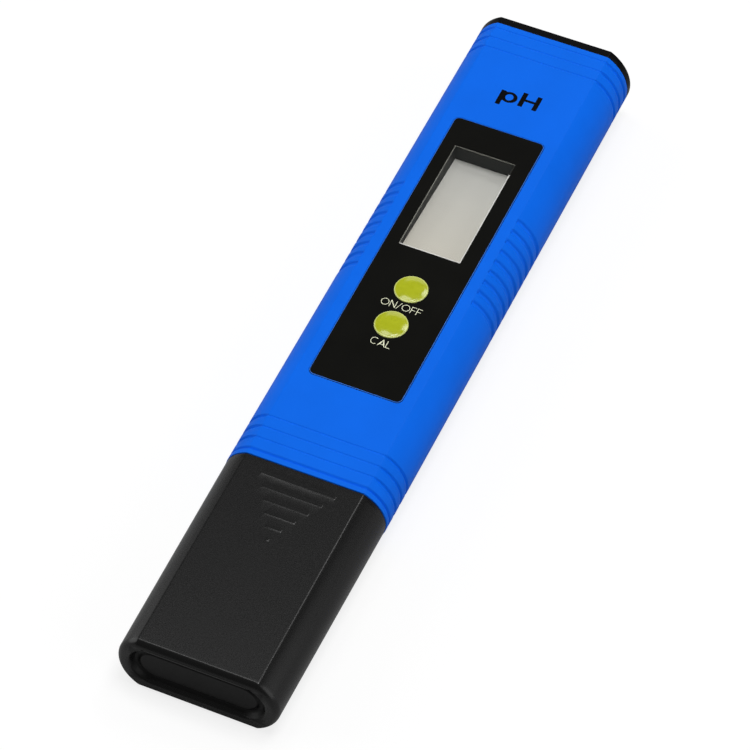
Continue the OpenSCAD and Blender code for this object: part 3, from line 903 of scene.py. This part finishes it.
class Look:
    """The shader nodes of a new material or world."""

    def __init__(self, owner):
        self.owner = owner
        owner.use_nodes = True
        self.nodes = owner.node_tree.nodes
        self.links = owner.node_tree.links

    def feed(self, node, inputs):
        """Links the sockets given to a node's inputs, and sets the other inputs to constants."""
        for key, value in inputs.items():
            if isinstance(value, bpy.types.NodeSocket):
                self.links.new(value, node.inputs[key])
            else:
                node.inputs[key].default_value = value
        return node

    def shader(self, inputs):
        return self.feed(self.nodes["Principled BSDF"], inputs)

    def add(self, kind, output, inputs):
        """Adds a node with these inputs, and gives one of its outputs."""
        return self.feed(self.nodes.new(kind), inputs).outputs[output]

    def coordinates(self, scale=(1, 1, 1), location=(0, 0, 0)):
        where = self.nodes.new("ShaderNodeTexCoord").outputs["Object"]
        return self.add("ShaderNodeMapping", "Vector",
                        {"Vector": where, "Scale": scale, "Location": location})

    def noise(self, vector, grain_mm, detail):
        """Noise whose features are about grain_mm across."""
        return self.add("ShaderNodeTexNoise", "Fac",
                        {"Vector": vector, "Scale": 1 / (grain_mm * MM), "Detail": detail})

    def ranged(self, value, low, high, source_low=0.3, source_high=0.7):
        return self.add("ShaderNodeMapRange", "Result",
                        {"Value": value, "From Min": source_low, "From Max": source_high,
                         "To Min": low, "To Max": high})

    def mixed(self, factor, first, second, blend="MIX"):
        node = self.nodes.new("ShaderNodeMix")
        node.data_type = "RGBA"
        node.blend_type = blend
        self.feed(node, {"Factor": factor, "A": rgba(first), "B": rgba(second)})
        return node.outputs["Result"]

    def bumped(self, value, height_mm):
        return self.add("ShaderNodeBump", "Normal",
                        {"Height": value, "Distance": height_mm * MM, "Strength": 1.0})

    def along_display(self, low_y, high_y):
        """0 below low_y and 1 above high_y, both in millimetres along the pen."""
        where = self.nodes.new("ShaderNodeTexCoord").outputs["Object"]
        y = self.add("ShaderNodeSeparateXYZ", "Y", {"Vector": where})
        return self.ranged(y, 0.0, 1.0, low_y * MM, high_y * MM)

    def seen_directly(self, direct, reflected, output):
        """Shows one shader to the camera, and another in the light that falls on the pen."""
        ray = self.nodes.new("ShaderNodeLightPath").outputs["Is Camera Ray"]
        both = self.add("ShaderNodeMixShader", "Shader", {"Fac": ray, 1: reflected, 2: direct})
        self.feed(output, {"Surface": both})


def new_look(name):
    return Look(bpy.data.materials.new(name))


def plastic(name, color, rough, spec=0.5, grain=0.35, height=0.01, vary=0.08, mottle=9.0):
    """Moulded plastic: slow shifts of tone, and a fine grain in roughness and height."""
    look = new_look(name)
    vector = look.coordinates()
    slow = look.noise(vector, mottle, 2.0)
    fine = look.noise(vector, grain, 4.0)
    dark = tuple(c * (1 - vary) for c in color)
    light = tuple(min(1.0, c * (1 + vary)) for c in color)
    look.shader({"Base Color": look.mixed(look.ranged(slow, 0, 1), dark, light),
                 "Roughness": look.ranged(fine, rough * 0.88, min(1.0, rough * 1.12)),
                 "Normal": look.bumped(fine, height), "Specular IOR Level": spec})
    return look.owner


def metal(name, color, rough, grain=0.25):
    """Rolled metal with a fine grain and slow dull patches."""
    look = new_look(name)
    vector = look.coordinates()
    fine = look.noise(vector, grain, 4.0)
    slow = look.noise(vector, 4.0, 2.0)
    dark = tuple(c * 0.82 for c in color)
    look.shader({"Base Color": look.mixed(look.ranged(slow, 0, 1), dark, color),
                 "Roughness": look.ranged(fine, rough * 0.7, rough * 1.3),
                 "Normal": look.bumped(fine, 0.006), "Metallic": 1.0})
    return look.owner


def clear_plastic(name, color, alpha, rough, shaded_above=None):
    """A thin clear pane: mostly see-through, with its gloss kept. Above a point it may be darkened
    with painted shade.
    """
    look = new_look(name)
    fine = look.noise(look.coordinates(), 1.5, 3.0)
    tone = look.mixed(fine, color, tuple(c * 0.94 for c in color))
    # painted shade: the tone turns nearly black beyond shaded_above along the pen
    if shaded_above is not None:
        above = look.along_display(shaded_above - 0.1, shaded_above)
        tone = look.mixed(above, tone, (0.02, 0.02, 0.015))
    look.shader({"Base Color": tone, "Roughness": look.ranged(fine, rough * 0.8, rough * 1.2),
                 "Alpha": alpha})
    return look.owner


def display_face(name):
    """The display film: warm grey at the buttons' end, and a little cooler towards the other."""
    look = new_look(name)
    along = look.along_display(PANE_MID[1] - 12, PANE_MID[1] + 12)
    tone = look.mixed(along, (0.72, 0.69, 0.60), (0.68, 0.68, 0.64))
    fine = look.noise(look.coordinates(), 0.2, 2.0)
    speckle = look.mixed(fine, (0.99, 0.99, 0.99), (1, 1, 1))
    look.shader({"Base Color": look.mixed(1.0, tone, speckle, "MULTIPLY"),
                 "Roughness": look.ranged(fine, 0.4, 0.44), "Specular IOR Level": 0.3})
    return look.owner


def lime_plastic(name, centre):
    """Glossy tinted resin, with a paler ring round the rim that is a painted highlight."""
    look = new_look(name)
    length = look.nodes.new("ShaderNodeVectorMath")
    length.operation = "LENGTH"
    look.feed(length, {0: look.coordinates((1, 1, 0), (-centre[0] * MM, -centre[1] * MM, 0))})
    # painted highlight: the colour turns paler towards the rim's edge
    rim = look.ranged(length.outputs["Value"], 0, 1, (BUTTON_R - 0.32) * MM, (BUTTON_R - 0.08) * MM)
    slow = look.noise(look.coordinates(), 1.4, 2.0)
    body = look.mixed(look.ranged(slow, 0, 1), (0.42, 0.47, 0.008), (0.47, 0.52, 0.012))
    look.shader({"Base Color": look.mixed(rim, body, (0.68, 0.74, 0.22)),
                 "Roughness": look.ranged(slow, 0.14, 0.2),
                 "Coat Weight": 0.4, "Coat Roughness": 0.05})
    return look.owner


def glass(name):
    look = new_look(name)
    slow = look.noise(look.coordinates(), 5.0, 2.0)
    look.shader({"Base Color": look.mixed(slow, (0.8, 0.9, 0.92), (0.88, 0.95, 0.96)),
                 "Roughness": look.ranged(slow, 0.02, 0.05), "Alpha": 0.32, "IOR": 1.47})
    return look.owner


def foam(name):
    """Open foam whose cells are darkened in the middle with painted shade, where the pores sink in.
    """
    look = new_look(name)
    cells = look.add("ShaderNodeTexVoronoi", "Distance",
                     {"Vector": look.coordinates(), "Scale": 1 / (0.4 * MM)})
    # painted shade: darker towards the middle of each cell
    pores = look.ranged(cells, 0, 1, 0.05, 0.6)
    look.shader({"Base Color": look.mixed(pores, (0.42, 0.26, 0.04), (0.80, 0.60, 0.16)),
                 "Roughness": 0.95, "Normal": look.bumped(cells, 0.12)})
    return look.owner


def circuit_board(name):
    """Green solder mask over a faint grid of tracks."""
    look = new_look(name)
    vector = look.coordinates((1, 0.35, 1))
    tracks = look.feed(look.nodes.new("ShaderNodeTexBrick"), {
        "Vector": vector, "Scale": 1 / (7 * MM), "Mortar Size": 0.03,
        "Color1": (0.010, 0.11, 0.045, 1), "Color2": (0.014, 0.14, 0.055, 1),
        "Mortar": (0.03, 0.22, 0.09, 1)})
    fine = look.noise(vector, 0.4, 2.0)
    look.shader({"Base Color": tracks.outputs["Color"], "Roughness": look.ranged(fine, 0.28, 0.4),
                 "Normal": look.bumped(tracks.outputs["Fac"], 0.02)})
    return look.owner


# ---- the pieces

BLUE = (0.0035, 0.145, 0.84)
CAP_BLACK = (0.0035, 0.0035, 0.0035)
BRASS = (0.72, 0.55, 0.26)
CELL_STEEL = (0.66, 0.67, 0.68)
OFF_WHITE = (0.78, 0.75, 0.66)

blue_plastic = plastic("blue_plastic", BLUE, 0.4, spec=0.05, grain=0.22, height=0.004, vary=0.03)
cap_plastic = plastic("cap_plastic", CAP_BLACK, 0.27, spec=0.43, grain=0.2, height=0.0005,
                      vary=0.05)
recess_plastic = plastic("recess_plastic", CAP_BLACK, 0.42, spec=0.26, grain=0.2, height=0.001)
lid_plastic = plastic("lid_plastic", (0.0025, 0.0025, 0.003), 0.3, spec=0.09, grain=0.2,
                      height=0.004)
probe_plastic = plastic("probe_plastic", (0.012, 0.012, 0.012), 0.38, spec=0.4, grain=0.25,
                        height=0.006)
panel_gloss = plastic("panel_gloss", (0.0066, 0.0066, 0.0058), 0.1, spec=0.1, grain=3.0,
                      height=0.001, vary=0.1)
# the panel's bevel: see-through blue, lightened as a painted highlight
panel_edge_blue_and_highlight = plastic("panel_edge_blue_and_highlight", (0.05, 0.2, 0.72), 0.4, spec=0.15, grain=0.5, height=0.001)
cream_print = plastic("cream_print", (0.94, 0.96, 0.70), 0.55, spec=0.3, grain=0.1,
                      height=0.002, vary=0.05)
black_print = plastic("black_print", (0.001, 0.001, 0.0015), 0.5, spec=0.05, grain=0.12,
                      height=0.002)
seal_rubber = plastic("seal_rubber", (0.008, 0.008, 0.008), 0.7, spec=0.3, grain=0.15,
                      height=0.01)

front_housing(blue_plastic)
back_cover(blue_plastic)
front_panel(panel_gloss, panel_edge_blue_and_highlight)
# the pane's rim takes two painted highlights; the bright one turns dark with painted shade in the
# last 2.7 mm of the pane along the pen
display_window(clear_plastic("clear_pane", (0.12, 0.13, 0.125), 0.05, 0.05),
               clear_plastic("painted_faint_rim", (0.8, 0.8, 0.7), 0.24, 0.4),
               clear_plastic("painted_bright_rim", (0.97, 0.96, 0.93), 0.75, 0.4, PANE_HIGH[1] - 2.7))
button("power_key", "power_button", POWER_AT, "power_button", lime_plastic("lime_power", POWER_AT))
button("cal_key", "cal_button", CAL_AT, "cal_button", lime_plastic("lime_cal", CAL_AT))
probe_cap(cap_plastic, recess_plastic)
storage_sponge(foam("sponge_foam"))
battery_cap(lid_plastic)
electrode_housing(probe_plastic)
glass_electrode(glass("bulb_glass"))
cap_seal(seal_rubber)

PRINT_LOW, PRINT_HIGH = PANEL_TOP - 0.02, PANEL_TOP + 0.015
lettering("on_off_mark", "ON/OFF", (1.5, 1.14, 0.72, 1.5, 0.9, 0.9), 1.5, 0.11, 0.21,
          (0.21, POWER_AT[1] - 4.32), PRINT_LOW, PRINT_HIGH, cream_print)
lettering("cal_mark", "CAL", (1.38, 1.42, 0.85), 1.55, 0.112, 0.09,
          (0.21, CAL_AT[1] - 4.48), PRINT_LOW, PRINT_HIGH, cream_print)
lettering("ph_mark", "pH", (3.5, 3.7), 3.5, 0.9, 0.5,
          (0.12, 59.8), -0.02, 0.012, black_print)

CAD_MATERIALS = {
    "lcd_frame": plastic("frame_plastic", (0.012, 0.012, 0.011), 0.6, spec=0.2, grain=0.2,
                         height=0.006),
    "lcd_polarizer": display_face("display_film"),
    "lcd_glass": clear_plastic("cell_glass", (0.6, 0.68, 0.64), 0.5, 0.05),
    "lcd_reflector": plastic("foil_back", (0.7, 0.7, 0.66), 0.35, grain=0.3),
    "zebra_strips": plastic("zebra_rubber", (0.05, 0.05, 0.06), 0.8, grain=0.1),
    "main_board": circuit_board("board_mask"),
    "controller_chip": plastic("chip_resin", (0.01, 0.01, 0.01), 0.3, grain=0.8),
    "amplifier_chip": plastic("chip_case", (0.014, 0.014, 0.015), 0.5, grain=0.2),
    "board_components": plastic("component_clay", (0.4, 0.26, 0.13), 0.4, grain=0.3, vary=0.25,
                                mottle=3.0),
    "board_screws": metal("screw_steel", (0.62, 0.63, 0.65), 0.3),
    "power_switch": plastic("switch_case", (0.015, 0.015, 0.016), 0.5, grain=0.2),
    "cal_switch": plastic("switch_case_2", (0.015, 0.015, 0.016), 0.5, grain=0.2),
    "positive_contact": metal("contact_plate", BRASS, 0.28),
    "negative_contact": metal("contact_plate_2", BRASS, 0.28),
    "reference_wire": metal("silver_wire", (0.82, 0.82, 0.8), 0.22),
    "electrode_bung": plastic("bung_rubber", (0.25, 0.03, 0.02), 0.75, grain=0.15),
    "electrode_leads": plastic("lead_sleeve", (0.45, 0.02, 0.015), 0.4, grain=0.2),
    "junction_plug": plastic("porous_plug", OFF_WHITE, 0.95, grain=0.12, height=0.03),
    "power_plunger": plastic("plunger_white", OFF_WHITE, 0.45, grain=0.2),
    "cal_plunger": plastic("plunger_white_2", OFF_WHITE, 0.45, grain=0.2),
    "battery_tray": plastic("tray_plastic", (0.016, 0.016, 0.016), 0.45, grain=0.25, height=0.008),
    "left_cell": metal("cell_steel", CELL_STEEL, 0.24, grain=0.15),
    "right_cell": metal("cell_steel_2", CELL_STEEL, 0.24, grain=0.15),
    "cell_bridge": metal("bridge_plate", BRASS, 0.3),
}
for node_name, node_material in CAD_MATERIALS.items():
    for material_slot in frame["nodes"][node_name].material_slots:
        material_slot.material = node_material

# ---- floor, light and camera


def floor_material():
    """White with a faint shadow in the picture, and grey in what it reflects onto the pen."""
    look = new_look("pale_floor")
    matt = look.shader({"Base Color": (0.93, 0.93, 0.93, 1), "Roughness": 0.9,
                        "Specular IOR Level": 0.1}).outputs["BSDF"]
    glow = look.add("ShaderNodeEmission", "Emission", {"Color": (1, 1, 1, 1), "Strength": 1.06})
    seen = look.add("ShaderNodeMixShader", "Shader", {"Fac": 0.75, 1: matt, 2: glow})
    grey = look.add("ShaderNodeBsdfDiffuse", "BSDF", {"Color": (0.4, 0.4, 0.4, 1)})
    look.seen_directly(seen, grey, look.nodes["Material Output"])
    return look.owner


def stage_floor():
    half, drop = 3.0, 0.0001
    corners = [(-half, -half, 0), (half, -half, 0), (half, half, 0), (-half, half, 0)]
    mesh = bpy.data.meshes.new("floor")
    mesh.from_pydata(corners, [], [(0, 1, 2, 3)])
    mesh.transform(Matrix.Translation((0, 0, -drop)))
    mesh.materials.append(floor_material())
    add_object("floor", mesh)


def towards(azimuth, elevation):
    """The unit vector to a compass direction and a height, both in degrees."""
    az, el = math.radians(azimuth), math.radians(elevation)
    return Vector((math.sin(az) * math.cos(el), -math.cos(az) * math.cos(el), math.sin(el)))


def area_light(name, azimuth, elevation, distance, size, power):
    """A soft lamp that looks at the pen from a compass direction and a height."""
    lamp = bpy.data.lights.new(name, "AREA")
    lamp.size = size
    lamp.energy = power
    obj = add_object(name, lamp)
    obj.location = towards(azimuth, elevation) * distance
    obj.rotation_euler = (-obj.location).to_track_quat("-Z", "Y").to_euler()


def lights():
    """A dim room with a white backdrop, and six lamps."""
    look = Look(bpy.data.worlds.new("studio"))
    room = look.feed(look.nodes["Background"], {"Color": (1, 1, 1, 1), "Strength": 0.12})
    white = look.add("ShaderNodeBackground", "Background", {"Color": (0.98, 0.98, 0.98, 1)})
    look.seen_directly(white, room.outputs["Background"], look.nodes["World Output"])
    bpy.context.scene.world = look.owner
    area_light("overhead", 110, 80, 1.2, 0.5, 6.9)
    area_light("right", 88, 15, 1.3, 1.4, 7.0)
    area_light("left", -88, 15, 1.3, 1.4, 8.4)
    area_light("low_back", 196, 28, 1.2, 0.5, 0.8)
    area_light("back_edge", 164, 53, 1.3, 0.34, 1.8)
    area_light("end_edge", 232, 71, 1.3, 0.34, 1.5)


def camera():
    """Stands where the photograph was taken from, and looks at the pen on its back."""
    away = towards(24.03, 50.58)
    distance = 726.4 * MM
    focal_px, image_px = 4149.4, 750
    target = Vector((0.24, -5.52, 7.5)) * MM
    data = bpy.data.cameras.new("camera")
    data.sensor_width = 36
    data.lens = focal_px * data.sensor_width / image_px
    data.clip_start = 0.01
    obj = add_object("camera", data)
    obj.location = target + away * distance
    obj.rotation_euler = (-away).to_track_quat("-Z", "Y").to_euler()
    bpy.context.scene.camera = obj


stage_floor()
lights()
camera()
bpy.context.scene.view_settings.view_transform = "Standard"
